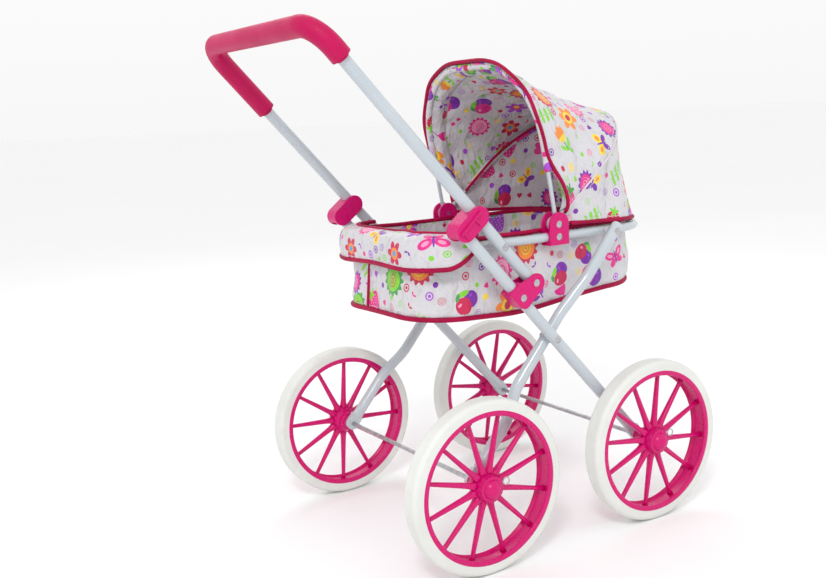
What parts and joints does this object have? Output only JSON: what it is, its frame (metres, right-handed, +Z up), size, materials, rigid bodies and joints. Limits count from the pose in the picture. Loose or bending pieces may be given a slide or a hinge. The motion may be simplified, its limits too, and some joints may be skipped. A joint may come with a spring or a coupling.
{
  "type": "doll stroller",
  "caption": "Folding toy doll stroller with push handle, printed fabric basket, folding hood and spoked wheels",
  "frame": {"origin": "centre of the bounding box's bottom, on the floor under the tyres", "axes": "+X forward from the push handle to the hood, +Y the stroller's left, +Z up"},
  "size_m": [0.5024, 0.3568, 0.5806],
  "materials": {
    "painted_tube": "gloss",
    "pink_plastic": "gloss",
    "foam": "matte",
    "tyre": "satin",
    "steel": "satin",
    "chrome": "mirror",
    "fabric": "satin",
    "piping": "satin",
    "board": "matte",
    "plug": "matte"
  },
  "bodies": {
    "chassis": {"front_leg_left": "painted_tube", "front_leg_right": "painted_tube", "front_leg_plugs": "plug", "fold_bracket_left": "pink_plastic", "fold_bracket_right": "pink_plastic", "bracket_rivets": "chrome", "cross_rivets": "chrome", "cross_washers": "plug", "front_axle": "steel", "front_bushes": "pink_plastic"},
    "handle": {"push_handle": "painted_tube", "foam_grip": "foam", "handle_plugs": "plug", "upper_clip_left": "pink_plastic", "upper_clip_right": "pink_plastic", "rail_rivets": "chrome", "rail_spacers": "plug"},
    "rear_legs": {"rear_leg_left": "painted_tube", "rear_leg_right": "painted_tube", "rear_leg_plugs": "plug", "head_rivets": "chrome", "head_spacers": "plug", "rear_axle": "steel", "rear_bushes": "pink_plastic"},
    "carrycot": {"basket_rail": "painted_tube", "basket_fabric": "fabric", "base_board": "board", "foot_apron": "fabric", "hood_bracket_left": "pink_plastic", "hood_bracket_right": "pink_plastic", "hood_rivets": "chrome"},
    "hood_mid": {"mid_hoop": "painted_tube", "hood_rear_cover": "fabric"},
    "hood_front": {"front_hoop": "painted_tube", "hood_front_cover": "fabric"},
    "wheel_unit_front_left": {"wheel_rim_front_left": "pink_plastic", "wheel_spokes_front_left": "pink_plastic", "tyre_front_left": "tyre", "hub_cap_front_left": "pink_plastic", "ring_pin_front_left": "steel"},
    "wheel_unit_front_right": {"wheel_rim_front_right": "pink_plastic", "wheel_spokes_front_right": "pink_plastic", "tyre_front_right": "tyre", "hub_cap_front_right": "pink_plastic", "ring_pin_front_right": "steel"},
    "wheel_unit_rear_left": {"wheel_rim_rear_left": "pink_plastic", "wheel_spokes_rear_left": "pink_plastic", "tyre_rear_left": "tyre", "hub_cap_rear_left": "pink_plastic", "ring_pin_rear_left": "steel"},
    "wheel_unit_rear_right": {"wheel_rim_rear_right": "pink_plastic", "wheel_spokes_rear_right": "pink_plastic", "tyre_rear_right": "tyre", "hub_cap_rear_right": "pink_plastic", "ring_pin_rear_right": "steel"}
  },
  "joints": [
    {"name": "handle_fold", "type": "hinge", "parent": "chassis", "child": "handle", "pos_m": [0.004, 0, 0.29841], "axis": [0, 1, 0], "range_deg": [0, 100]},
    {"name": "rear_legs_fold", "type": "hinge", "parent": "chassis", "child": "rear_legs", "pos_m": [0.03375, 0, 0.231], "axis": [0, 1, 0], "range_deg": [0, 50]},
    {"name": "carrycot_swing", "type": "hinge", "parent": "handle", "child": "carrycot", "pos_m": [-0.03435, 0, 0.341], "axis": [0, 1, 0], "range_deg": [-61, 0]},
    {"name": "hood_fold", "type": "hinge", "parent": "carrycot", "child": "hood_mid", "pos_m": [0.0572, 0, 0.355], "axis": [0, 1, 0], "range_deg": [0, 25], "deforming": ["hood_rear_cover"]},
    {"name": "hood_front_fold", "type": "hinge", "parent": "hood_mid", "child": "hood_front", "pos_m": [0.0572, 0, 0.355], "axis": [0, 1, 0], "range_deg": [0, 45], "deforming": ["hood_front_cover"]},
    {"name": "wheel_spin_front_left", "type": "hinge", "parent": "chassis", "child": "wheel_unit_front_left", "pos_m": [0.1562, 0.1567, 0.095], "axis": [0, 1, 0], "continuous": true},
    {"name": "wheel_spin_front_right", "type": "hinge", "parent": "chassis", "child": "wheel_unit_front_right", "pos_m": [0.1562, -0.1567, 0.095], "axis": [0, 1, 0], "continuous": true},
    {"name": "wheel_spin_rear_left", "type": "hinge", "parent": "rear_legs", "child": "wheel_unit_rear_left", "pos_m": [-0.0848, 0.1567, 0.095], "axis": [0, 1, 0], "continuous": true},
    {"name": "wheel_spin_rear_right", "type": "hinge", "parent": "rear_legs", "child": "wheel_unit_rear_right", "pos_m": [-0.0848, -0.1567, 0.095], "axis": [0, 1, 0], "continuous": true}
  ],
  "couplings": [
    {"joint": "rear_legs_fold", "follows": "handle_fold", "ratio": 0.488},
    {"joint": "carrycot_swing", "follows": "handle_fold", "ratio": -0.6},
    {"joint": "hood_front_fold", "follows": "hood_fold", "ratio": 1.8}
  ]
}
